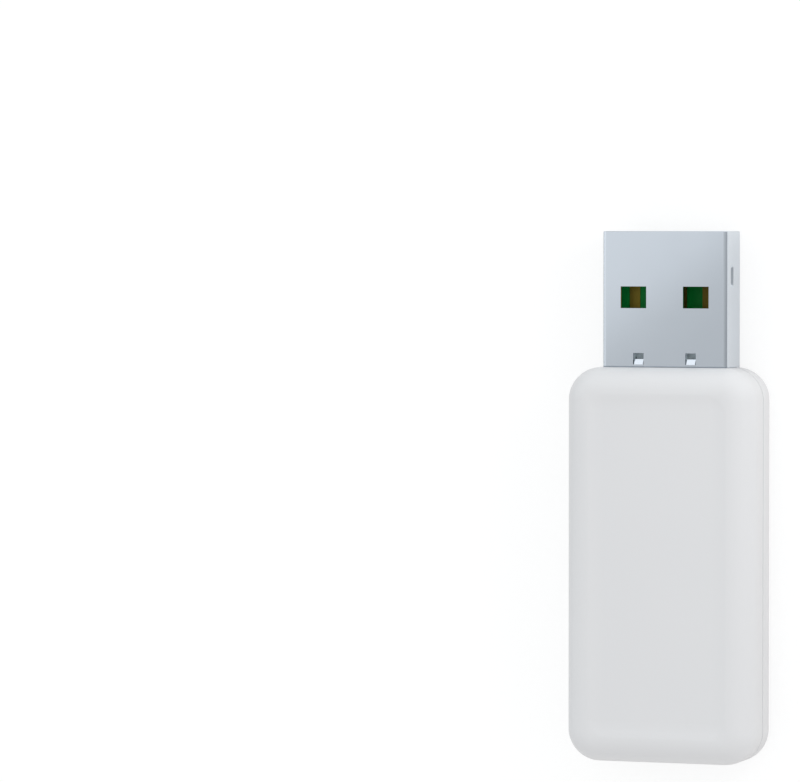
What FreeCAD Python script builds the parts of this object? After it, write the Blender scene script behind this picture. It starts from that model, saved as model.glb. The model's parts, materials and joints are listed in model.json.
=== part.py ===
import FreeCAD, Part
import math
import os

from FreeCAD import Placement, Rotation, Vector

# A USB radio stick: a moulded two-part housing, a folded plug shell, and the circuit board that
# runs through both. Sizes are in millimetres. It is drawn on end, with +Z to the plug's mouth and
# -Y out of the front, from the middle of the housing's flat end. The last step lays it on its back.

# Housing
housing_width = 18.0
housing_height = 36.4
housing_thickness = 8.2
housing_corner_radius = 3.0
housing_edge_radius = 2.3
housing_wall = 1.2
front_dish_depth = 0.14
front_dish_rim_radius = 6.5
front_dish_margin = 0.2
front_dish_corner = 0.1
parting_y = 0.0
parting_bevel = 0.06
parting_gap = 0.12
parting_gap_depth = 0.3
lip_height = 0.8
lip_thickness = 0.5
lip_clearance = 0.06
snap_length = 4.0
snap_rise = 0.2
snap_end_distance = 9.5
cavity_bevel = 0.6
rib_thickness = 0.8
front_rib_height = 0.8
board_rib_count = 3
board_rib_spacing = 7.0
saddle_count = 2
saddle_spacing = 1.8

# Plug shell, folded from one strip
plug_width = 12.0
plug_thickness = 4.5
plug_exposed = 12.55
plug_embedded = 5.2
plug_rear_cover = 1.1
plug_sheet = 0.3
plug_corner_radius = 0.4
plug_opening_gap = 0.08
mouth_bevel = 0.08
window_width = 2.45
window_height = 2.0
window_spacing = 5.97
window_from_mouth = 5.1
lance_hole_width = 1.0
lance_hole_height = 1.05
lance_spacing = 5.0
lance_above_housing = 0.27
lance_side_gap = 0.08
lance_length = 0.56
lance_angle = 30.0
side_dent_width = 0.85
side_dent_height = 2.1
side_dent_depth = 0.2
side_dent_from_mouth = 3.1
side_dent_from_front = 1.55
seam_gap = 0.06
dovetail_depth = 1.1
dovetail_neck = 0.9
dovetail_flare = 0.25
dovetails_from_mouth = (2.5, 9.3)
leg_length = 1.6
leg_front_reach = 0.5
leg_back_reach = 0.2
leg_slot_gap = 0.1

# Circuit board and the carrier that holds its tongue
board_thickness = 1.6
board_side_clearance = 0.4
board_end_clearance = 0.6
board_shoulder_gap = 0.1
board_corner_radius = 1.0
tongue_tip_depth = 1.0
tongue_side_gap = 0.05
carrier_rail = 0.4
carrier_fit = 0.02
carrier_from_mouth = 0.6
carrier_block_from_mouth = 10.2
lance_pocket_depth = 0.8
lance_pocket_drop = 0.3
contact_width = 1.0
contact_thickness = 0.06
contact_inner_spacing = 2.0
contact_outer_spacing = 7.0
outer_contact_length = 7.4
inner_contact_length = 6.4
outer_contact_from_tip = 0.3
inner_contact_from_tip = 1.3

# Pins and bosses that locate the board
pin_diameter = 1.2
pin_clearance = 0.06
pin_reach = 2.2
boss_diameter = 2.2
boss_from_board_edge = 1.3
boss_gap = 0.03

# Parts soldered to the board
chip_height = 0.85
long_range_chip_size = 5.0
long_range_chip_pad_count = 8
mesh_chip_size = 5.0
mesh_chip_pad_count = 8
bridge_chip_size = 4.0
bridge_chip_pad_count = 6
pad_width = 0.25
pad_pitch = 0.5
pad_reach = 0.25
pad_height = 0.2
dimple_radius = 0.3
dimple_depth = 0.05
dimple_inset = 0.8
small_outline_length = 2.9
small_outline_width = 1.6
small_outline_top = 1.1
small_outline_standoff = 0.1
small_outline_bevel = 0.15
lead_width = 0.4
lead_pitch = 0.95
lead_reach = 0.6
lead_foot = 0.3
lead_thickness = 0.15
lead_exit_height = 0.5
crystal_length = 3.2
crystal_width = 2.5
crystal_base_height = 0.4
crystal_lid_height = 0.35
crystal_lid_inset = 0.2
crystal_corner_radius = 0.3
filter_width = 2.0
filter_length = 2.5
filter_height = 0.6
antenna_length = 8.0
antenna_depth = 3.2
antenna_sheet = 0.25
antenna_bend = 0.2
antenna_clearance = 0.5
antenna_leg_width = 0.8
antenna_leg_height = 1.2
antenna_feed_from_end = 2.0
antenna_slit_width = 0.4
antenna_slit_count = 4
antenna_slit_margin = 0.7
chip_antenna_length = 3.2
chip_antenna_width = 1.6
chip_antenna_height = 0.5
small_passive_length = 1.0
small_passive_width = 0.5
small_passive_height = 0.5
bead_length = 1.6
bead_width = 0.8
bead_height = 0.8
bulk_length = 2.0
bulk_width = 1.25
bulk_height = 1.25
fuse_length = 3.2
fuse_width = 1.6
fuse_height = 0.6
terminal_share = 0.22
passive_gap = 0.5
decoupling_count = 6
resistor_count = 3
inductor_count = 2
solder_length = 1.2
solder_reach = 0.4
solder_height = 0.4

# How far a cutting tool runs past what it cuts, and the least radius of an inner corner
past = 0.5
least_radius = 0.05

# Places worked out from the sizes
plug_y = housing_thickness / 2 - plug_rear_cover - plug_thickness / 2
plug_front = plug_y - plug_thickness / 2
plug_rear = plug_y + plug_thickness / 2
plug_mouth = housing_height + plug_exposed
plug_end = housing_height - plug_embedded
plug_inner_half = plug_width / 2 - plug_sheet
cavity_front = housing_wall - housing_thickness / 2
cavity_rear = housing_thickness / 2 - housing_wall
board_front = plug_y
board_back = plug_y + board_thickness
board_half = housing_width / 2 - housing_wall - board_side_clearance
board_foot = housing_wall + board_end_clearance
board_shoulder = plug_end - board_shoulder_gap
board_tip = plug_mouth - tongue_tip_depth
carrier_half = plug_inner_half - carrier_fit
tongue_half = carrier_half - carrier_rail - tongue_side_gap
carrier_tip = plug_mouth - carrier_from_mouth
boss_x = board_half - boss_from_board_edge
antenna_top = cavity_front + antenna_clearance
leg_depth = leg_length + board_shoulder_gap
small_outline_depth = small_outline_width + 2 * lead_reach
small_passive = (small_passive_length, small_passive_width, small_passive_height)
bead_passive = (bead_length, bead_width, bead_height)
bulk_passive = (bulk_length, bulk_width, bulk_height)
fuse_passive = (fuse_length, fuse_width, fuse_height)
across = housing_width + plug_width

nodes = {}


def box(x0, x1, y0, y1, z0, z1):
    return Part.makeBox(x1 - x0, y1 - y0, z1 - z0, Vector(x0, y0, z0))


def edges_along(shape, axis):
    return [edge for edge in shape.Edges if abs(abs(edge.tangentAt(0).dot(axis)) - 1) < 1e-6]


def round_along(shape, axis, radius):
    """Fillet the edges of a plain block that run along an axis."""
    return shape.makeFillet(radius, edges_along(shape, axis))


def edges_at_y(shape, y):
    """Edges that lie in the plane of one y."""
    return [edge for edge in shape.Edges
            if abs(edge.BoundBox.YMin - y) < 1e-5 and abs(edge.BoundBox.YMax - y) < 1e-5]


def prism(points, direction):
    """A straight prism from a list of corner points and the vector it is drawn along."""
    outline = Part.makePolygon(list(points) + [points[0]])
    return Part.Face(outline).extrude(direction)


def rod(x, z, radius, y0, y1):
    return Part.makeCylinder(radius, y1 - y0, Vector(x, y0, z), Vector(0, 1, 0))


def fused(shapes):
    first = shapes[0]
    if len(shapes) == 1:
        return first
    return first.fuse(shapes[1:]).removeSplitter()


def group(shapes):
    return Part.makeCompound(shapes)


def spread(widths, low, high):
    """Middles of a row of widths, set between two ends with equal gaps."""
    gap = (high - low - sum(widths)) / (len(widths) + 1)
    middles = []
    reach = low
    for width in widths:
        middles.append(reach + gap + width / 2)
        reach += gap + width
    return middles


def even(count, pitch):
    """Offsets of a number of places about their middle."""
    return [(place - (count - 1) / 2) * pitch for place in range(count)]


# Rows of parts up the board, from its foot to the shell's legs
row_names = ("antenna", "crystal", "radio", "boss", "bridge", "power")
row_depths = (antenna_depth, crystal_width, mesh_chip_size, boss_diameter, bridge_chip_size,
              small_outline_depth)
row_z = dict(zip(row_names, spread(row_depths, board_foot, board_shoulder - leg_depth)))


def across_board(widths):
    return spread(widths, -board_half, board_half)


# Housing


def housing_block(inset):
    """The housing's outer form, set in on every side."""
    half_width = housing_width / 2 - inset
    half_thickness = housing_thickness / 2 - inset
    top = housing_height - inset
    block = box(-half_width, half_width, -half_thickness, half_thickness, inset, top)
    block = round_along(block, Vector(0, 1, 0), max(housing_corner_radius - inset, least_radius))
    rims = edges_at_y(block, -half_thickness) + edges_at_y(block, half_thickness)
    return block.makeFillet(max(housing_edge_radius - inset, least_radius), rims)


def front_side(shape, y):
    """The part of a shape in front of a plane of one y."""
    return shape.common(box(-across, across, -across, y, -past, plug_mouth))


def rear_side(shape, y):
    return shape.common(box(-across, across, y, across, -past, plug_mouth))


def cavity():
    """The hollow inside the wall, its rims bevelled to follow the outer rounding."""
    half_width = housing_width / 2 - housing_wall
    top = housing_height - housing_wall
    corner_radius = max(housing_corner_radius - housing_wall, least_radius)
    hollow = box(-half_width, half_width, cavity_front, cavity_rear, housing_wall, top)
    hollow = round_along(hollow, Vector(0, 1, 0), corner_radius)
    rims = edges_at_y(hollow, cavity_front) + edges_at_y(hollow, cavity_rear)
    return hollow.makeChamfer(cavity_bevel, rims)


def front_dish():
    """A shallow hollow all over the front face, shaped by the rounded rims of a block."""
    rise = front_dish_rim_radius - front_dish_depth
    beyond = front_dish_rim_radius - math.sqrt(front_dish_rim_radius ** 2 - rise ** 2)
    inset = housing_edge_radius + front_dish_margin - beyond
    half_width = housing_width / 2 - inset
    floor = front_dish_depth - housing_thickness / 2
    block = box(-half_width, half_width, floor - 2 * front_dish_rim_radius, floor, inset,
                housing_height - inset)
    block = round_along(block, Vector(0, 1, 0), front_dish_rim_radius + front_dish_corner)
    return block.makeFillet(front_dish_rim_radius, edges_at_y(block, floor))


def bevelled_half(side, y):
    half = side(housing_block(0), y)
    return half.makeChamfer(parting_bevel, edges_at_y(half, y))


def wall_ring(inner_inset, outer_inset, y0, y1):
    """A ring in the thickness of the housing's side wall."""
    ring = housing_block(outer_inset).cut(housing_block(inner_inset))
    return ring.common(box(-across, across, y0, y1, -past, plug_mouth))


def snap_ridges(rise, length):
    """Bars with four corners, half sunk in the lip's outer side, so that both flanks are ramps."""
    lip_outer = housing_width / 2 - housing_wall + lip_thickness
    y = parting_y - lip_height / 2
    ridges = []
    for x in (-lip_outer, lip_outer):
        for z in (snap_end_distance, housing_height - snap_end_distance):
            start = z - length / 2
            corners = [(x - rise, y), (x, y - rise), (x + rise, y), (x, y + rise)]
            points = [Vector(a, b, start) for a, b in corners]
            ridges.append(prism(points, Vector(0, 0, length)))
    return ridges


def cross_rib(z, y0, y1):
    """A rib across the housing, its root sunk half way into the wall."""
    slab = box(-across, across, y0, y1, z - rib_thickness / 2, z + rib_thickness / 2)
    return slab.common(housing_block(housing_wall / 2))


def saddle_heights():
    middle = (plug_end + housing_height - housing_wall) / 2
    return [middle + offset for offset in even(saddle_count, saddle_spacing)]


def board_middle():
    return (board_foot + board_shoulder) / 2


def plug_pocket():
    """The space in both halves that the plug shell is laid into."""
    return plug_block(-plug_opening_gap, plug_end - past, housing_height + past)


def make_front_housing():
    half = bevelled_half(front_side, parting_y).cut([cavity(), front_dish()])
    wall = -housing_thickness / 2 + housing_wall / 2
    additions = []
    for lower, upper in (("crystal", "radio"), ("radio", "boss"), ("bridge", "power")):
        z = (row_z[lower] + row_z[upper]) / 2
        additions.append(cross_rib(z, wall, cavity_front + front_rib_height))
    for z in saddle_heights():
        additions.append(cross_rib(z, wall, parting_y))
    for x in (-boss_x, boss_x):
        boss = rod(x, row_z["boss"], boss_diameter / 2, wall, board_front - boss_gap)
        additions.append(boss)
    half = fused([half] + additions)
    bore = pin_diameter / 2 + pin_clearance
    bore_depth = pin_reach + pin_clearance
    cuts = [rod(x, row_z["boss"], bore, board_front - bore_depth, board_front + past)
            for x in (-boss_x, boss_x)]
    groove_outer = housing_wall - lip_thickness - lip_clearance
    groove_floor = parting_y - lip_height - lip_clearance
    cuts.append(wall_ring(housing_wall, groove_outer, groove_floor, parting_y + past))
    cuts.extend(snap_ridges(snap_rise + lip_clearance, snap_length + 2 * lip_clearance))
    cuts.append(plug_pocket())
    return half.cut(cuts).removeSplitter()


def make_rear_housing():
    seat = rear_side(housing_block(parting_gap_depth), parting_y)
    half = fused([bevelled_half(rear_side, parting_y + parting_gap), seat]).cut(cavity())
    wall = housing_thickness / 2 - housing_wall / 2
    lip_root = parting_y + lip_thickness
    lip = wall_ring(housing_wall, housing_wall - lip_thickness, parting_y - lip_height, lip_root)
    additions = [fused([lip] + snap_ridges(snap_rise, snap_length))]
    for offset in even(board_rib_count, board_rib_spacing):
        additions.append(cross_rib(board_middle() + offset, board_back, wall))
    for z in saddle_heights():
        additions.append(cross_rib(z, parting_y, wall))
    for x in (-boss_x, boss_x):
        z = row_z["boss"]
        additions.append(rod(x, z, pin_diameter / 2, board_front - pin_reach, wall))
        additions.append(rod(x, z, boss_diameter / 2, board_back, wall))
    half = fused([half] + additions)
    return half.cut(plug_pocket()).removeSplitter()


# Plug shell


def plug_block(inset, z0, z1):
    """The plug's outer form, set in on its four sides."""
    half_width = plug_width / 2 - inset
    half_depth = plug_thickness / 2 - inset
    block = box(-half_width, half_width, plug_y - half_depth, plug_y + half_depth, z0, z1)
    return round_along(block, Vector(0, 0, 1), max(plug_corner_radius - inset, least_radius))


def wall_window(x, y0, y1):
    top = plug_mouth - window_from_mouth
    half = window_width / 2
    return box(x - half, x + half, y0, y1, top - window_height, top)


def side_dent(side):
    """An obround hollow with sloping walls, pressed into one side of the plug."""
    radius = side_dent_width / 2
    y = plug_front + side_dent_from_front
    top = plug_mouth - side_dent_from_mouth - radius
    bottom = plug_mouth - side_dent_from_mouth - side_dent_height + radius
    floor = side * (plug_width / 2 - side_dent_depth)
    start = min(floor, floor + side * plug_sheet)
    ends = [Part.makeCylinder(radius, plug_sheet, Vector(start, y, z), Vector(1, 0, 0))
            for z in (bottom, top)]
    middle = box(start, start + plug_sheet, y - radius, y + radius, bottom, top)
    dent = fused([middle] + ends)
    rim = [edge for edge in dent.Edges
           if abs(edge.BoundBox.XMin - floor) < 1e-5 and abs(edge.BoundBox.XMax - floor) < 1e-5]
    return dent.makeChamfer(side_dent_depth, rim)


def seam_bar(start, end, y0, y1):
    """A narrow gap between two points of the rear face, given as x and z."""
    length = math.dist(start, end) + seam_gap
    bar = box(-seam_gap / 2, length - seam_gap / 2, 0, y1 - y0, -seam_gap / 2, seam_gap / 2)
    turn = math.degrees(math.atan2(end[1] - start[1], end[0] - start[0]))
    place = Placement(Vector(start[0], y0, start[1]), Rotation(Vector(0, -1, 0), turn))
    return bar.transformed(place.toMatrix())


def seam():
    """The joint where the folded strip closes, locked by dovetails."""
    points = [(0, plug_end - past)]
    for from_mouth in sorted(dovetails_from_mouth, reverse=True):
        z = plug_mouth - from_mouth
        neck = dovetail_neck / 2
        flare = neck + dovetail_flare
        points += [(0, z - neck), (dovetail_depth, z - flare), (dovetail_depth, z + flare), (0, z + neck)]
    points.append((0, plug_mouth + past))
    y0 = plug_rear - plug_sheet - past
    return [seam_bar(a, b, y0, plug_rear + past) for a, b in zip(points, points[1:])]


def lance_hole(x):
    half = lance_hole_width / 2
    bottom = housing_height + lance_above_housing
    return box(x - half, x + half, plug_front - past, plug_front + plug_sheet + past,
               bottom, bottom + lance_hole_height)


def lance(x):
    """A tab cut on three sides and bent in about the lower edge of its hole."""
    angle = math.radians(lance_angle)
    along = Vector(0, math.sin(angle), math.cos(angle))
    through = Vector(0, math.cos(angle), -math.sin(angle))
    half = lance_hole_width / 2 - lance_side_gap
    root = Vector(x - half, plug_front, housing_height + lance_above_housing)
    tip = root + along * lance_length
    inner_tip = tip + through * plug_sheet
    back = (inner_tip.y - plug_front - plug_sheet) / along.y
    inner_root = inner_tip - along * back
    return prism([root, tip, inner_tip, inner_root], Vector(2 * half, 0, 0))


def shell_leg(side):
    """A tab of the side wall that goes through the board's slot."""
    outer = side * plug_width / 2
    inner = side * plug_inner_half
    return box(min(outer, inner), max(outer, inner), board_front - leg_front_reach,
               board_back + leg_back_reach, plug_end - leg_length, plug_end + past)


def make_plug_shell():
    outer = plug_block(0, plug_end, plug_mouth)
    mouth_edges = [edge for edge in outer.Edges if edge.BoundBox.ZMin > plug_mouth - 1e-5]
    outer = outer.makeChamfer(mouth_bevel, mouth_edges)
    shell = outer.cut(plug_block(plug_sheet, plug_end - past, plug_mouth + past))
    cuts = seam()
    for x in (-window_spacing / 2, window_spacing / 2):
        cuts.append(wall_window(x, plug_front - past, plug_front + plug_sheet + past))
        cuts.append(wall_window(x, plug_rear - plug_sheet - past, plug_rear + past))
    cuts += [side_dent(-1), side_dent(1)]
    lance_places = (-lance_spacing / 2, lance_spacing / 2)
    cuts += [lance_hole(x) for x in lance_places]
    shell = shell.cut(cuts)
    tabs = [lance(x) for x in lance_places] + [shell_leg(-1), shell_leg(1)]
    return fused([shell] + tabs)


# Circuit board, carrier and contacts


def leg_slot(side):
    middle = side * (plug_width / 2 - plug_sheet / 2)
    half = plug_sheet / 2 + leg_slot_gap
    return box(middle - half, middle + half, board_front - past, board_back + past,
               plug_end - leg_length - leg_slot_gap, board_shoulder + past)


def make_circuit_board():
    body = box(-board_half, board_half, board_front, board_back, board_foot, board_shoulder)
    body = round_along(body, Vector(0, 1, 0), board_corner_radius)
    tongue = box(-tongue_half, tongue_half, board_front, board_back, board_shoulder - past, board_tip)
    board = fused([body, tongue])
    hole = pin_diameter / 2 + pin_clearance
    cuts = [rod(x, row_z["boss"], hole, board_front - past, board_back + past) for x in (-boss_x, boss_x)]
    cuts += [leg_slot(-1), leg_slot(1)]
    return board.cut(cuts)


def lance_pocket(x):
    """The hollow in the carrier that a lance is bent into, begun below the bend."""
    half = lance_hole_width / 2
    bottom = housing_height + lance_above_housing
    return box(x - half, x + half, plug_front, plug_front + plug_sheet + lance_pocket_depth,
               bottom - lance_pocket_drop, bottom + lance_hole_height)


def make_plug_insulator():
    """A tray behind the tongue with rails beside it, and a block across its root."""
    tray = rear_side(plug_block(plug_sheet + carrier_fit, plug_end, carrier_tip), board_front)
    block = plug_block(plug_sheet + carrier_fit, plug_end, plug_mouth - carrier_block_from_mouth)
    block = front_side(block, board_front)
    block = block.cut([lance_pocket(x) for x in (-lance_spacing / 2, lance_spacing / 2)])
    bed_half = tongue_half + tongue_side_gap
    bed = box(-bed_half, bed_half, board_front - carrier_fit, board_back, plug_end - past,
              board_tip + carrier_fit)
    return fused([tray, block]).cut(bed)


def contact(x, length, from_tip):
    top = board_tip - from_tip
    half = contact_width / 2
    return box(x - half, x + half, board_front - contact_thickness, board_front, top - length, top)


def solder_wedge(x, way):
    """Solder that rises from the board's front face up one side of a leg."""
    z = plug_end - (leg_length + solder_length) / 2
    root = Vector(x, board_front, z)
    return prism([root, root + Vector(way * solder_reach, 0, 0), root - Vector(0, solder_height, 0)],
                 Vector(0, 0, solder_length))


def make_plug_solder_joints():
    wedges = []
    for side in (-1, 1):
        wedges.append(solder_wedge(side * plug_width / 2, side))
        wedges.append(solder_wedge(side * plug_inner_half, -side))
    return group(wedges)


# Parts on the board: each is drawn on the board's front face at an x and a z


def on_board(x0, x1, z0, z1, low, high):
    """A block that stands on the board between two heights above its face."""
    return box(x0, x1, board_front - high, board_front - low, z0, z1)


def chip_package(x, z, size):
    half = size / 2
    package = on_board(x - half, x + half, z - half, z + half, 0, chip_height)
    spot = half - dimple_inset
    dimple = rod(x - spot, z + spot, dimple_radius, board_front - chip_height - past,
                 board_front - chip_height + dimple_depth)
    return package.cut(dimple)


def chip_fillets(x, z, size, count):
    """Wedges of solder along the four sides of a leadless chip."""
    half = size / 2
    fillets = []
    for offset in even(count, pad_pitch):
        start = Vector(x + offset - pad_width / 2, board_front, z + half)
        outward = start + Vector(0, 0, pad_reach)
        upward = start - Vector(0, pad_height, 0)
        wedge = prism([start, outward, upward], Vector(pad_width, 0, 0))
        for quarter in range(4):
            turned = wedge.copy()
            turned.rotate(Vector(x, 0, z), Vector(0, 1, 0), 90 * quarter)
            fillets.append(turned)
    return group(fillets)


def small_outline_package(x, z):
    half_length = small_outline_length / 2
    half_width = small_outline_width / 2
    package = on_board(x - half_length, x + half_length, z - half_width, z + half_width,
                       small_outline_standoff, small_outline_top)
    top = edges_at_y(package, board_front - small_outline_top)
    return package.makeChamfer(small_outline_bevel, top)


def gull_wing_lead(x, z, offset, side):
    """One lead, drawn as its side view and given its width."""
    wall = z + side * small_outline_width / 2
    bend = lead_reach - lead_foot
    section = [(0, lead_exit_height), (0, lead_exit_height + lead_thickness),
               (bend - lead_thickness / 2, lead_exit_height + lead_thickness),
               (bend + lead_thickness / 2, lead_thickness), (lead_reach, lead_thickness),
               (lead_reach, 0), (bend - lead_thickness / 2, 0),
               (bend - 3 * lead_thickness / 2, lead_exit_height)]
    points = [Vector(x + offset - lead_width / 2, board_front - high, wall + side * out)
              for out, high in section]
    return prism(points, Vector(lead_width, 0, 0))


def small_outline_leads(x, z, lower_offsets, upper_offsets):
    leads = [gull_wing_lead(x, z, offset, -1) for offset in lower_offsets]
    leads += [gull_wing_lead(x, z, offset, 1) for offset in upper_offsets]
    return group(leads)


def passive(x, z, size, upright):
    """A two-terminal part: its body, and its two end caps."""
    length, width, height = size
    cap = length * terminal_share
    half = length / 2
    spans = [(-half, -half + cap), (-half + cap, half - cap), (half - cap, half)]
    pieces = []
    for start, end in spans:
        if upright:
            pieces.append(on_board(x - width / 2, x + width / 2, z + start, z + end, 0, height))
        else:
            pieces.append(on_board(x + start, x + end, z - width / 2, z + width / 2, 0, height))
    return pieces[1], [pieces[0], pieces[2]]


def passive_row(xs, z, size):
    bodies = []
    terminals = []
    for x in xs:
        body, caps = passive(x, z, size, True)
        bodies.append(body)
        terminals += caps
    return group(bodies), group(terminals)


def crystal_base(x, z):
    half_length = crystal_length / 2
    half_width = crystal_width / 2
    return on_board(x - half_length, x + half_length, z - half_width, z + half_width, 0, crystal_base_height)


def crystal_lid(x, z):
    half_length = crystal_length / 2 - crystal_lid_inset
    half_width = crystal_width / 2 - crystal_lid_inset
    top = crystal_base_height + crystal_lid_height
    lid = on_board(x - half_length, x + half_length, z - half_width, z + half_width, crystal_base_height, top)
    return round_along(lid, Vector(0, 1, 0), crystal_corner_radius)


def make_folded_antenna(x, z):
    """A sheet bent to an L: a slit plate above the board, and a wall below it that ends in legs."""
    x0 = x - antenna_length / 2
    x1 = x + antenna_length / 2
    z0 = z - antenna_depth / 2
    z1 = z + antenna_depth / 2
    outer = box(x0, x1, antenna_top, board_front, z0, z1)
    outer_bend = [edge for edge in edges_at_y(outer, antenna_top)
                  if edge.BoundBox.ZMax < z0 + least_radius]
    outer = outer.makeFillet(antenna_bend + antenna_sheet, outer_bend)
    inner_y = antenna_top + antenna_sheet
    inner_z = z0 + antenna_sheet
    inner = box(x0 - past, x1 + past, inner_y, board_front + past, inner_z, z1 + past)
    inner_bend = [edge for edge in edges_at_y(inner, inner_y)
                  if edge.BoundBox.ZMax < inner_z + least_radius]
    inner = inner.makeFillet(antenna_bend, inner_bend)
    cuts = [inner]
    feed = x0 + antenna_feed_from_end
    legs = [x0, feed, x1 - antenna_leg_width]
    for leg, following in zip(legs, legs[1:]):
        cuts.append(box(leg + antenna_leg_width, following, board_front - antenna_leg_height,
                        board_front + past, z0 - past, inner_z + past))
    slit_pitch = antenna_length / (antenna_slit_count + 1)
    for place, offset in enumerate(even(antenna_slit_count, slit_pitch)):
        slit_x = x + offset
        low, high = (inner_z + antenna_bend, z1 - antenna_slit_margin)
        if place % 2:
            low, high = (low + antenna_slit_margin, z1 + past)
        cuts.append(box(slit_x - antenna_slit_width / 2, slit_x + antenna_slit_width / 2,
                        antenna_top - past, inner_y + past, low, high))
    return outer.cut(cuts)


def make_antennas():
    z = row_z["antenna"]
    folded_x, ceramic_x = across_board([antenna_length, chip_antenna_length])
    nodes["folded_antenna"] = make_folded_antenna(folded_x, z)
    size = (chip_antenna_length, chip_antenna_width, chip_antenna_height)
    body, caps = passive(ceramic_x, z, size, False)
    nodes["ceramic_antenna"] = body
    nodes["ceramic_antenna_terminals"] = group(caps)


def make_crystal_row():
    z = row_z["crystal"]
    inductor_pitch = small_passive_width + passive_gap
    inductors_width = inductor_count * inductor_pitch - passive_gap
    xs = across_board([crystal_length, inductors_width, filter_width, crystal_length])
    nodes["long_range_crystal_base"] = crystal_base(xs[0], z)
    nodes["long_range_crystal_lid"] = crystal_lid(xs[0], z)
    inductor_xs = [xs[1] + offset for offset in even(inductor_count, inductor_pitch)]
    bodies, caps = passive_row(inductor_xs, z, small_passive)
    nodes["matching_inductors"] = bodies
    nodes["matching_inductor_terminals"] = caps
    half = filter_width / 2
    nodes["band_filter"] = on_board(xs[2] - half, xs[2] + half, z - filter_length / 2,
                                    z + filter_length / 2, 0, filter_height)
    nodes["mesh_crystal_base"] = crystal_base(xs[3], z)
    nodes["mesh_crystal_lid"] = crystal_lid(xs[3], z)


def make_radio_row():
    z = row_z["radio"]
    long_range_x, mesh_x = across_board([long_range_chip_size, mesh_chip_size])
    nodes["long_range_radio_chip"] = chip_package(long_range_x, z, long_range_chip_size)
    nodes["long_range_chip_solder"] = chip_fillets(long_range_x, z, long_range_chip_size,
                                                   long_range_chip_pad_count)
    nodes["mesh_radio_chip"] = chip_package(mesh_x, z, mesh_chip_size)
    nodes["mesh_chip_solder"] = chip_fillets(mesh_x, z, mesh_chip_size, mesh_chip_pad_count)


def make_decoupling_row():
    pitch = small_passive_width + passive_gap
    bodies, caps = passive_row(even(decoupling_count, pitch), row_z["boss"], small_passive)
    nodes["decoupling_capacitors"] = bodies
    nodes["decoupling_capacitor_terminals"] = caps


def make_bridge_row():
    z = row_z["bridge"]
    pitch = small_passive_width + passive_gap
    resistors_width = resistor_count * pitch - passive_gap
    xs = across_board([small_outline_length, bridge_chip_size, resistors_width])
    nodes["voltage_regulator"] = small_outline_package(xs[0], z)
    ends = [-lead_pitch, lead_pitch]
    nodes["voltage_regulator_leads"] = small_outline_leads(xs[0], z, [-lead_pitch, 0, lead_pitch], ends)
    nodes["usb_bridge_chip"] = chip_package(xs[1], z, bridge_chip_size)
    nodes["usb_bridge_solder"] = chip_fillets(xs[1], z, bridge_chip_size, bridge_chip_pad_count)
    bodies, caps = passive_row([xs[2] + offset for offset in even(resistor_count, pitch)], z, small_passive)
    nodes["resistors"] = bodies
    nodes["resistor_terminals"] = caps


def make_power_row():
    z = row_z["power"]
    xs = across_board([bulk_width, small_outline_length, bead_width, fuse_length, bulk_width])
    bodies, caps = passive_row([xs[0], xs[4]], z, bulk_passive)
    nodes["bulk_capacitors"] = bodies
    nodes["bulk_capacitor_terminals"] = caps
    nodes["surge_protector"] = small_outline_package(xs[1], z)
    three = [-lead_pitch, 0, lead_pitch]
    nodes["surge_protector_leads"] = small_outline_leads(xs[1], z, three, three)
    bead, bead_caps = passive(xs[2], z, bead_passive, True)
    nodes["ferrite_bead"] = bead
    nodes["ferrite_bead_terminals"] = group(bead_caps)
    fuse, fuse_caps = passive(xs[3], z, fuse_passive, False)
    nodes["power_fuse"] = fuse
    nodes["power_fuse_terminals"] = group(fuse_caps)


nodes["front_housing"] = make_front_housing()
nodes["rear_housing"] = make_rear_housing()
nodes["plug_shell"] = make_plug_shell()
nodes["plug_insulator"] = make_plug_insulator()
nodes["circuit_board"] = make_circuit_board()
nodes["plug_solder_joints"] = make_plug_solder_joints()
outer_x = contact_outer_spacing / 2
inner_x = contact_inner_spacing / 2
nodes["contact_power"] = contact(-outer_x, outer_contact_length, outer_contact_from_tip)
nodes["contact_data_minus"] = contact(-inner_x, inner_contact_length, inner_contact_from_tip)
nodes["contact_data_plus"] = contact(inner_x, inner_contact_length, inner_contact_from_tip)
nodes["contact_ground"] = contact(outer_x, outer_contact_length, outer_contact_from_tip)
make_antennas()
make_crystal_row()
make_radio_row()
make_decoupling_row()
make_bridge_row()
make_power_row()

# Laid on its back: +Y to the plug's mouth, +Z out of the front, the origin under its middle
turn = Rotation(Vector(1, 0, 0), -90)
laid = Placement(Vector(0, -plug_mouth / 2, housing_thickness / 2), turn)

os.makedirs("parts", exist_ok=True)
for name, shape in nodes.items():
    shape.transformed(laid.toMatrix()).exportStep("parts/" + name + ".step")
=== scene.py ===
import json
import math

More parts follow.
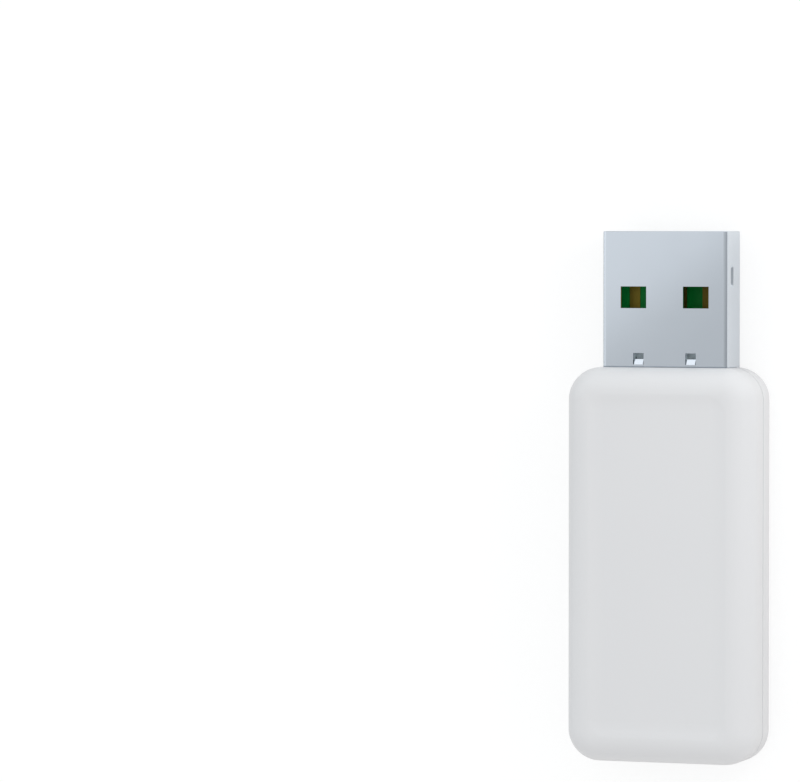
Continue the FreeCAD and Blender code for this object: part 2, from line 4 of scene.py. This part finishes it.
import bpy
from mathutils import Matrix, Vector


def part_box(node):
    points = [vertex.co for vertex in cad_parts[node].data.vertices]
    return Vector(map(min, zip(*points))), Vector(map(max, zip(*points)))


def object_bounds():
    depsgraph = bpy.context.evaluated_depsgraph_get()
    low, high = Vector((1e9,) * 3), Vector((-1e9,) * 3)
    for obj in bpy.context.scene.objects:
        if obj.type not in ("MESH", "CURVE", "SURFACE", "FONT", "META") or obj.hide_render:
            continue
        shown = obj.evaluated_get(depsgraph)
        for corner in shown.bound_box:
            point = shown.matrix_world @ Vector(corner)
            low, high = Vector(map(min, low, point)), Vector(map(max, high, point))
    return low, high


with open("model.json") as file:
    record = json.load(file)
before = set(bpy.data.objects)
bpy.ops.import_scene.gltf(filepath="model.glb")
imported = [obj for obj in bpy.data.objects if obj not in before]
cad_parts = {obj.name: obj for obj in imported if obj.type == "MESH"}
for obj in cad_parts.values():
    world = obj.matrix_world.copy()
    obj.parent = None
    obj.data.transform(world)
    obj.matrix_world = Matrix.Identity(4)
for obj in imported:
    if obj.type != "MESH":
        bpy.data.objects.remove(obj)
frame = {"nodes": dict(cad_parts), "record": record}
cad_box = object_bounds()
nodes = frame["nodes"]
scene = bpy.context.scene

MM = 0.001

# Camera: it looks down on the stick from its right, level with the plug's mouth
IMAGE_WIDTH = 800
IMAGE_HEIGHT = 782
PIXELS_PER_MM = 10.832
VIEW_DISTANCE = 460 * MM
VIEW_TURN = math.radians(16.6)
MOUTH_MIDDLE_PIXEL = (669.3, 231.0)
SENSOR_WIDTH = 36.0
CLIP_START = 0.01
CLIP_END = 10.0

# Sky as it lights the object: a level, a slope that is added along a direction, and a faint blue
# that grows towards one side. Under it, white that faces up is rendered about as it is written.
SKY_LEVEL = 1.241
SKY_SLOPE = (0.015, 0.130, -0.64)
SKY_BLUE = (0.94, 0.99, 1.01)
SKY_BLUE_FROM = (-0.50, 0.85, 0.0)

# Sky as gloss mirrors it: how far a direction points towards the upper left, and the level there
MIRRORED_TOWARDS = (-0.57, 0.82, 0.0)
MIRRORED_LEVELS = (
    (-0.60, 0.42), (-0.10, 0.61), (0.12, 0.63), (0.205, 0.84), (0.38, 0.865), (0.70, 1.17))

# Lamps: each level is for a surface that faces the lamp, where white sky all round would give one
TOP_LEVEL = 0.092
TOP_SPREAD = math.radians(60)
SIDE_LEVEL = 0.13034
SIDE_PLACE = Vector((80, 50, 60)) * MM
SIDE_WIDTH = 50 * MM
CORNER_LEVEL = 0.055
CORNER_PLACE = Vector((27, 34, 12)) * MM
CORNER_WIDTH = 16 * MM

# Floor: what it gives back to the object, how much of it glows of itself for the camera and for
# gloss, and the colours that gloss sees near the stick and far to its sides
FLOOR_REACH = 3.0
FLOOR_BOUNCE = (0.80, 0.80, 0.80)
FLOOR_GLOW = 0.7
FLOOR_GLOW_MIRRORED = 0.15
FLOOR_GLOW_LEVEL = 1.06
FLOOR_NEAR = 18 * MM
FLOOR_FAR = 35 * MM
FLOOR_NEAR_MIRRORED = (0.988, 0.958, 0.930)
FLOOR_FAR_MIRRORED = (0.4, 0.4, 0.4)

# Painted shade on the plug where it leaves the housing, mostly on the faces that lie flat
ROOT_SHADE = (0.22, 0.26, 0.30)
ROOT_SHADE_REACH = 0.15 * MM
ROOT_SHADE_ASIDE = 0.1

# Painted shade in the groove between the halves, whose middle is a little below mid-thickness
GROOVE_SHADE = (0.62, 0.62, 0.63)
GROOVE_SHADE_REACH = 0.14 * MM
GROOVE_BELOW_MIDDLE = 0.06 * MM

# Painted shade: the board and its contacts grow darker from left to right over this distance,
# either side of the middle
PAINTED_SHADE_REACH = 4 * MM

# Faces that meet at more than this angle keep a sharp edge; corners nearer than this are one
SHARP_ANGLE = math.radians(28)
WELD_REACH = 0.0005 * MM

WHITE = (1.0, 1.0, 1.0)


def smooth(obj):
    """Join the facets and shade the curved faces evenly, with flat faces kept flat."""
    for polygon in obj.data.polygons:
        polygon.use_smooth = True
    weld = obj.modifiers.new("Weld", "WELD")
    weld.merge_threshold = WELD_REACH
    split = obj.modifiers.new("Split", "EDGE_SPLIT")
    split.split_angle = SHARP_ANGLE
    weighted = obj.modifiers.new("Weighted", "WEIGHTED_NORMAL")
    weighted.keep_sharp = True


# Node trees


class Nodes:
    """A node tree with short calls. A value is a number, a colour or another node's output."""

    def __init__(self, tree):
        self.tree = tree

    def link(self, output, socket):
        self.tree.links.new(output, socket)

    def put(self, value, socket):
        if isinstance(value, bpy.types.NodeSocket):
            self.link(value, socket)
        elif isinstance(value, tuple):
            socket.default_value = (*value, 1.0)
        else:
            socket.default_value = value

    def node(self, kind, **settings):
        made = self.tree.nodes.new(kind)
        for key, value in settings.items():
            setattr(made, key, value)
        return made

    def axis(self, source, name):
        split = self.node("ShaderNodeSeparateXYZ")
        self.link(source, split.inputs["Vector"])
        return split.outputs[name]

    def along(self, source, direction):
        """How far a vector reaches along a direction."""
        product = self.node("ShaderNodeVectorMath", operation="DOT_PRODUCT")
        product.inputs[1].default_value = direction
        self.link(source, product.inputs[0])
        return product.outputs["Value"]

    def math(self, operation, first, second=None):
        made = self.node("ShaderNodeMath", operation=operation)
        self.put(first, made.inputs[0])
        if second is not None:
            self.put(second, made.inputs[1])
        return made.outputs["Value"]

    def ranged(self, value, low, high, from_low=0.3, from_high=0.7):
        """A value carried from one range to another, and held at its ends."""
        made = self.node("ShaderNodeMapRange")
        made.inputs["From Min"].default_value = from_low
        made.inputs["From Max"].default_value = from_high
        made.inputs["To Min"].default_value = low
        made.inputs["To Max"].default_value = high
        self.link(value, made.inputs["Value"])
        return made.outputs["Result"]

    def mixed(self, factor, first, second):
        """Two colours mixed by a factor."""
        made = self.node("ShaderNodeMix", data_type="RGBA")
        self.put(factor, made.inputs[0])
        self.put(first, made.inputs[6])
        self.put(second, made.inputs[7])
        return made.outputs[2]

    def between(self, factor, first, second):
        """Two numbers mixed by a factor."""
        made = self.node("ShaderNodeMix")
        self.put(factor, made.inputs[0])
        self.put(first, made.inputs[2])
        self.put(second, made.inputs[3])
        return made.outputs[0]

    def either(self, factor, first, second):
        """Two shaders mixed by a factor."""
        made = self.node("ShaderNodeMixShader")
        for value, socket in zip((factor, first, second), made.inputs):
            self.link(value, socket)
        return made.outputs[0]

    def shader(self, kind, colour, strength=None):
        made = self.node(kind)
        self.put(colour, made.inputs["Color"])
        if strength is not None:
            self.put(strength, made.inputs["Strength"])
        return made.outputs[0]


class Surface(Nodes):
    """A Principled material, with textures measured in millimetres on the object."""

    def __init__(self, name, color, roughness, metallic=0.0, specular=0.5):
        self.material = bpy.data.materials.new(name)
        self.material.use_nodes = True
        super().__init__(self.material.node_tree)
        self.principled = self.tree.nodes["Principled BSDF"]
        self.place = self.node("ShaderNodeTexCoord").outputs["Object"]
        self.feed(color, "Base Color")
        self.feed(roughness, "Roughness")
        self.feed(metallic, "Metallic")
        self.feed(specular, "Specular IOR Level")

    def feed(self, value, name):
        self.put(value, self.principled.inputs[name])

    def stretched(self, scale):
        """The place on the object, in millimetres, scaled along each axis."""
        mapping = self.node("ShaderNodeMapping")
        mapping.inputs["Scale"].default_value = [s / MM for s in scale]
        self.link(self.place, mapping.inputs["Vector"])
        return mapping.outputs["Vector"]

    def noise(self, size, detail=2.0, stretch=(1, 1, 1)):
        """Noise whose grains are size millimetres across."""
        texture = self.node("ShaderNodeTexNoise")
        texture.inputs["Scale"].default_value = 1.0 / size
        texture.inputs["Detail"].default_value = detail
        self.link(self.stretched(stretch), texture.inputs["Vector"])
        return texture.outputs["Fac"]

    def dome(self, centre, reach):
        """A height that falls from a centre as a shallow dome, to minus one at its reach."""
        offset = self.node("ShaderNodeVectorMath", operation="SUBTRACT")
        offset.inputs[1].default_value = centre
        self.link(self.place, offset.inputs[0])
        scaled = self.node("ShaderNodeVectorMath", operation="MULTIPLY")
        scaled.inputs[1].default_value = (1 / reach, 1 / reach, 0)
        self.link(offset.outputs["Vector"], scaled.inputs[0])
        square = self.node("ShaderNodeVectorMath", operation="DOT_PRODUCT")
        self.link(scaled.outputs["Vector"], square.inputs[0])
        self.link(scaled.outputs["Vector"], square.inputs[1])
        return self.math("MULTIPLY", square.outputs["Value"], -1.0)

    def facing(self):
        """How squarely the surface faces up."""
        return self.axis(self.node("ShaderNodeNewGeometry").outputs["Normal"], "Z")

    def painted_shade_rightwards(self):
        """A factor for painted shade, that grows from the left of the object to its right."""
        return self.ranged(self.axis(self.place, "X"), 0.0, 1.0, -PAINTED_SHADE_REACH, PAINTED_SHADE_REACH)

    def bump(self, height, depth, before=None):
        """Relief of a depth in millimetres, laid over what came before."""
        made = self.node("ShaderNodeBump")
        made.inputs["Distance"].default_value = depth * MM
        self.link(height, made.inputs["Height"])
        if before is not None:
            self.link(before, made.inputs["Normal"])
        return made.outputs["Normal"]


# Materials


def housing_plastic():
    """Fine moulded grain over a slight waviness, with painted shade in the groove between the
    halves.
    """
    made = Surface("housing_plastic", (0.73, 0.74, 0.75), 0.42)
    drift = made.mixed(made.noise(9.0, 1.0), (0.742, 0.737, 0.748), (0.756, 0.749, 0.757))
    low, high = cad_box
    groove = (low.z + high.z) / 2 - GROOVE_BELOW_MIDDLE
    away = made.math("ABSOLUTE", made.math("SUBTRACT", made.axis(made.place, "Z"), groove))
    # Painted shade: a grey band darkens the groove between the halves
    painted_shade = made.ranged(away, 1.0, 0.0, GROOVE_SHADE_REACH / 2, GROOVE_SHADE_REACH)
    made.feed(made.mixed(painted_shade, drift, GROOVE_SHADE), "Base Color")
    made.feed(made.ranged(made.noise(0.9, 3.0), 0.38, 0.47), "Roughness")
    wave = made.bump(made.noise(3.5, 1.0), 0.012)
    made.feed(made.bump(made.noise(0.11, 2.0), 0.0014, wave), "Normal")
    return made.material


def plug_steel():
    """Satin plating on a sheet that bows out a little between its bends."""
    made = Surface("plug_steel", (0.70, 0.75, 0.81), 0.27, metallic=1.0)
    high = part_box("plug_shell")[1]
    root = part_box("front_housing")[1].y
    haze = made.mixed(made.noise(4.0, 1.0), (0.68, 0.745, 0.82), (0.70, 0.765, 0.84))
    # Painted shade: the plating darkens where it leaves the housing, mostly on the faces that lie
    # flat
    near = made.ranged(made.axis(made.place, "Y"), 1.0, 0.0, root, root + ROOT_SHADE_REACH)
    painted_shade = made.math("MULTIPLY", near, made.ranged(made.facing(), ROOT_SHADE_ASIDE, 1.0, 0.2, 0.8))
    made.feed(made.mixed(painted_shade, haze, ROOT_SHADE), "Base Color")
    made.feed(made.ranged(made.noise(2.5, 1.0), 0.17, 0.20), "Roughness")
    bow = made.bump(made.dome((0, (root + high.y) / 2, 0), high.x), 0.22)
    rolling = made.noise(0.15, 1.0, stretch=(1, 0.05, 1))
    made.feed(made.bump(rolling, 0.0002, bow), "Normal")
    return made.material


def carrier_plastic():
    made = Surface("carrier_plastic", (0.68, 0.75, 0.78), 0.5)
    drift = made.mixed(made.noise(2.0, 3.0), (0.66, 0.735, 0.77), (0.70, 0.765, 0.79))
    made.feed(drift, "Base Color")
    made.feed(made.bump(made.noise(0.12, 2.0), 0.003), "Normal")
    return made.material


def board_laminate():
    """Green lacquer on both faces over traces, and bare glass-filled laminate on the cut edges."""
    made = Surface("board_laminate", (0.002, 0.20, 0.03), 0.34, specular=0.08)
    weave = made.noise(0.5, 2.0)
    # Painted light and shade: the lacquer is lighter on the left and darker on the right
    left = made.mixed(weave, (0.003, 0.245, 0.040), (0.004, 0.265, 0.046))
    right = made.mixed(weave, (0.001, 0.130, 0.016), (0.001, 0.145, 0.020))
    green = made.mixed(made.painted_shade_rightwards(), left, right)
    traces = made.node("ShaderNodeTexBrick")
    sizes = {"Scale": 1.0, "Mortar Size": 0.05, "Brick Width": 2.6, "Row Height": 0.55}
    for name, size in sizes.items():
        traces.inputs[name].default_value = size
    made.link(made.stretched((1, 1, 1)), traces.inputs["Vector"])
    behind_plug = made.math("LESS_THAN", made.axis(made.place, "Y"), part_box("plug_shell")[0].y)
    copper = made.math("MULTIPLY", traces.outputs["Fac"], behind_plug)
    lit = made.mixed(copper, green, (0.008, 0.27, 0.06))
    lacquered = made.math("GREATER_THAN", made.math("ABSOLUTE", made.facing()), 0.7)
    fibres = made.noise(0.25, 3.0, stretch=(1, 1, 4))
    fibre = made.mixed(fibres, (0.45, 0.40, 0.22), (0.55, 0.50, 0.30))
    made.feed(made.mixed(lacquered, fibre, lit), "Base Color")
    made.feed(made.bump(copper, 0.006, made.bump(weave, 0.003)), "Normal")
    return made.material


def contact_gold():
    """Thin gold plating, dull, with painted shade that darkens it to brown."""
    made = Surface("contact_gold", (0.19, 0.135, 0.022), 0.45, metallic=0.85, specular=0.2)
    drift = made.noise(1.2, 2.0)
    # Painted light and shade: the plating is lighter on the left and darker on the right
    left = made.mixed(drift, (0.24, 0.175, 0.027), (0.26, 0.195, 0.032))
    right = made.mixed(drift, (0.105, 0.078, 0.013), (0.120, 0.090, 0.016))
    made.feed(made.mixed(made.painted_shade_rightwards(), left, right), "Base Color")
    made.feed(made.ranged(made.noise(0.5, 2.0), 0.42, 0.5), "Roughness")
    made.feed(made.bump(made.noise(0.04, 2.0, stretch=(1, 0.05, 1)), 0.0005), "Normal")
    return made.material


def solder():
    made = Surface("solder", (0.70, 0.70, 0.71), 0.25, metallic=1.0)
    drift = made.mixed(made.noise(0.3, 3.0), (0.62, 0.62, 0.64), (0.76, 0.76, 0.77))
    made.feed(drift, "Base Color")
    made.feed(made.bump(made.noise(0.15, 2.0), 0.01), "Normal")
    return made.material


def moulded_black(name):
    """Filled epoxy with a fine sparkle of filler."""
    made = Surface(name, (0.03, 0.03, 0.035), 0.55)
    specks = made.ranged(made.noise(0.04, 1.0), 0.0, 1.0, 0.62, 0.72)
    made.feed(made.mixed(specks, (0.025, 0.025, 0.03), (0.07, 0.07, 0.075)), "Base Color")
    made.feed(made.bump(made.noise(0.06, 2.0), 0.004), "Normal")
    return made.material


def sheet_metal(name, dark, light):
    """Rolled sheet, with its grain along the stick."""
    made = Surface(name, light, 0.25, metallic=1.0)
    made.feed(made.mixed(made.noise(0.7, 3.0), dark, light), "Base Color")
    made.feed(made.ranged(made.noise(0.4, 3.0), 0.25, 0.4), "Roughness")
    made.feed(made.bump(made.noise(0.05, 2.0, stretch=(1, 0.1, 1)), 0.0015), "Normal")
    return made.material


def fired_ceramic(name, dark, light, rough=0.5):
    made = Surface(name, light, rough)
    specks = made.noise(0.12, 3.0)
    made.feed(made.mixed(specks, dark, light), "Base Color")
    made.feed(made.bump(specks, 0.003), "Normal")
    return made.material


def make_materials():
    sheets = {
        "tinned_metal": ((0.60, 0.60, 0.61), (0.72, 0.72, 0.73)),
        "crystal_metal": ((0.70, 0.68, 0.62), (0.80, 0.78, 0.72)),
        "antenna_metal": ((0.66, 0.65, 0.62), (0.78, 0.77, 0.74)),
    }
    ceramics = {
        "crystal_ceramic": ((0.70, 0.67, 0.57), (0.77, 0.74, 0.64)),
        "filter_ceramic": ((0.75, 0.73, 0.65), (0.82, 0.80, 0.72)),
        "antenna_ceramic": ((0.74, 0.79, 0.82), (0.82, 0.86, 0.88), 0.25),
        "inductor_ceramic": ((0.55, 0.61, 0.66), (0.63, 0.69, 0.73)),
        "capacitor_ceramic": ((0.48, 0.34, 0.21), (0.58, 0.43, 0.29)),
        "resistor_film": ((0.03, 0.03, 0.04), (0.06, 0.06, 0.07), 0.3),
        "ferrite": ((0.11, 0.11, 0.12), (0.17, 0.17, 0.18), 0.6),
        "fuse_body": ((0.07, 0.20, 0.12), (0.12, 0.28, 0.19), 0.45),
    }
    made = {
        "housing_plastic": housing_plastic(),
        "plug_steel": plug_steel(),
        "carrier_plastic": carrier_plastic(),
        "board_laminate": board_laminate(),
        "contact_gold": contact_gold(),
        "solder": solder(),
        "chip_plastic": moulded_black("chip_plastic"),
    }
    made.update((slot, sheet_metal(slot, *tones)) for slot, tones in sheets.items())
    made.update((slot, fired_ceramic(slot, *tones)) for slot, tones in ceramics.items())
    return made


def dress_nodes():
    """Give every carried-over node the material of its slot, and smooth it."""
    materials = make_materials()
    for row in frame["record"]["subparts"]:
        obj = nodes[row["node"]]
        obj.data.materials.clear()
        obj.data.materials.append(materials[row["material_slot"]])
        smooth(obj)


# Stage


def make_floor():
    """A pale sheet, seen whiter than it lights the object. The camera and gloss see a lighter
    shadow, and gloss sees the sheet's far parts dim."""
    turns = ((-1, -1), (1, -1), (1, 1), (-1, 1))
    corners = [(x * FLOOR_REACH, y * FLOOR_REACH, 0) for x, y in turns]
    mesh = bpy.data.meshes.new("floor")
    mesh.from_pydata(corners, [], [(0, 1, 2, 3)])
    floor = bpy.data.objects.new("floor", mesh)
    scene.collection.objects.link(floor)
    material = bpy.data.materials.new("floor_paper")
    material.use_nodes = True
    material.node_tree.nodes.clear()
    made = Nodes(material.node_tree)
    ray = made.node("ShaderNodeLightPath").outputs
    place = made.node("ShaderNodeTexCoord").outputs["Object"]
    sideways = made.math("ABSOLUTE", made.axis(place, "X"))
    far = made.ranged(sideways, 0.0, 1.0, FLOOR_NEAR, FLOOR_FAR)
    mirrored = made.mixed(far, FLOOR_NEAR_MIRRORED, FLOOR_FAR_MIRRORED)
    tone = made.mixed(ray["Is Glossy Ray"], WHITE, mirrored)
    sheet = made.shader("ShaderNodeBsdfDiffuse", tone)
    glow = made.shader("ShaderNodeEmission", tone, FLOOR_GLOW_LEVEL)
    amount = made.between(ray["Is Camera Ray"], FLOOR_GLOW_MIRRORED, FLOOR_GLOW)
    looked_at = made.math("MAXIMUM", ray["Is Camera Ray"], ray["Is Glossy Ray"])
    paper = made.shader("ShaderNodeBsdfDiffuse", FLOOR_BOUNCE)
    shown = made.either(looked_at, paper, made.either(amount, sheet, glow))
    made.link(shown, made.node("ShaderNodeOutputMaterial").inputs["Surface"])
    mesh.materials.append(material)


def make_sky():
    """A studio tent, brighter low down and beyond the plug, that gloss mirrors as cards which grow
    dimmer from the upper left to the lower right. The camera sees it white."""
    world = bpy.data.worlds.new("studio")
    scene.world = world
    world.use_nodes = True
    world.node_tree.nodes.clear()
    made = Nodes(world.node_tree)
    ray = made.node("ShaderNodeLightPath").outputs
    direction = made.node("ShaderNodeTexCoord").outputs["Generated"]
    level = made.math("ADD", made.along(direction, SKY_SLOPE), SKY_LEVEL)
    lowest = MIRRORED_LEVELS[0][0]
    highest = MIRRORED_LEVELS[-1][0]
    cards = made.node("ShaderNodeValToRGB")
    stops = cards.color_ramp.elements
    for index, (place, strength) in enumerate(MIRRORED_LEVELS):
        position = (place - lowest) / (highest - lowest)
        inner = 0 < index < len(MIRRORED_LEVELS) - 1
        stop = stops.new(position) if inner else stops[0 if index == 0 else -1]
        stop.color = (strength, strength, strength, 1)
    towards = made.along(direction, MIRRORED_TOWARDS)
    made.link(made.ranged(towards, 0.0, 1.0, lowest, highest), cards.inputs["Fac"])
    unseen = made.between(ray["Is Glossy Ray"], level, cards.outputs["Color"])
    strength = made.between(ray["Is Camera Ray"], unseen, 1.0)
    bluer = made.ranged(made.along(direction, SKY_BLUE_FROM), 0.0, 1.0, -1.0, 1.0)
    unmirrored = made.math("SUBTRACT", 1.0, ray["Is Glossy Ray"])
    tint = made.mixed(made.math("MULTIPLY", bluer, unmirrored), WHITE, SKY_BLUE)
    walls = made.shader("ShaderNodeBackground", tint, strength)
    made.link(walls, made.node("ShaderNodeOutputWorld").inputs["Surface"])


def add_lamp(lamp, place, towards):
    """Put a lamp at a place, with its back towards a direction and hidden from gloss."""
    obj = bpy.data.objects.new(lamp.name, lamp)
    obj.location = place
    obj.rotation_euler = towards.to_track_quat("Z", "Y").to_euler()
    obj.visible_glossy = False
    scene.collection.objects.link(obj)


def add_disk_lamp(name, level, width, place, target):
    reach = place - target
    lamp = bpy.data.lights.new(name, "AREA")
    lamp.shape = "DISK"
    lamp.size = width
    lamp.energy = level * math.pi ** 2 * reach.length_squared
    add_lamp(lamp, place, reach)


def make_lamps():
    """A broad soft lamp overhead, a nearer one at the upper right that fades along the stick, and
    a small one that only the housing's upper right corner is near."""
    up = Vector((0, 0, 1))
    top = bpy.data.lights.new("top", "SUN")
    top.angle = TOP_SPREAD
    top.energy = TOP_LEVEL * math.pi
    add_lamp(top, up, up)
    low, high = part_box("front_housing")
    front_middle = Vector((0, (low.y + high.y) / 2, high.z))
    add_disk_lamp("side", SIDE_LEVEL, SIDE_WIDTH, SIDE_PLACE, front_middle)
    corner = Vector((high.x, high.y, (low.z + high.z) / 2))
    add_disk_lamp("corner", CORNER_LEVEL, CORNER_WIDTH, CORNER_PLACE, corner)


def make_camera():
    """A long lens, turned so that the middle of the plug's mouth falls on its pixel."""
    low, high = cad_box
    aim = Vector((0, high.y, (low.z + high.z) / 2))
    focal_pixels = PIXELS_PER_MM * VIEW_DISTANCE / MM
    right = MOUTH_MIDDLE_PIXEL[0] - IMAGE_WIDTH / 2
    up = IMAGE_HEIGHT / 2 - MOUTH_MIDDLE_PIXEL[1]
    pitch = math.atan(up / focal_pixels)
    yaw = math.atan(right * math.cos(pitch) / focal_pixels)
    data = bpy.data.cameras.new("camera")
    data.sensor_width = SENSOR_WIDTH
    data.lens = focal_pixels * SENSOR_WIDTH / IMAGE_WIDTH
    data.clip_start = CLIP_START
    data.clip_end = CLIP_END
    camera = bpy.data.objects.new("camera", data)
    back = Vector((math.sin(VIEW_TURN), 0, math.cos(VIEW_TURN)))
    camera.location = aim + back * VIEW_DISTANCE
    camera.rotation_euler = (-pitch, VIEW_TURN + yaw, 0)
    scene.collection.objects.link(camera)
    scene.camera = camera


dress_nodes()
make_floor()
make_sky()
make_lamps()
make_camera()
scene.view_settings.view_transform = "Standard"
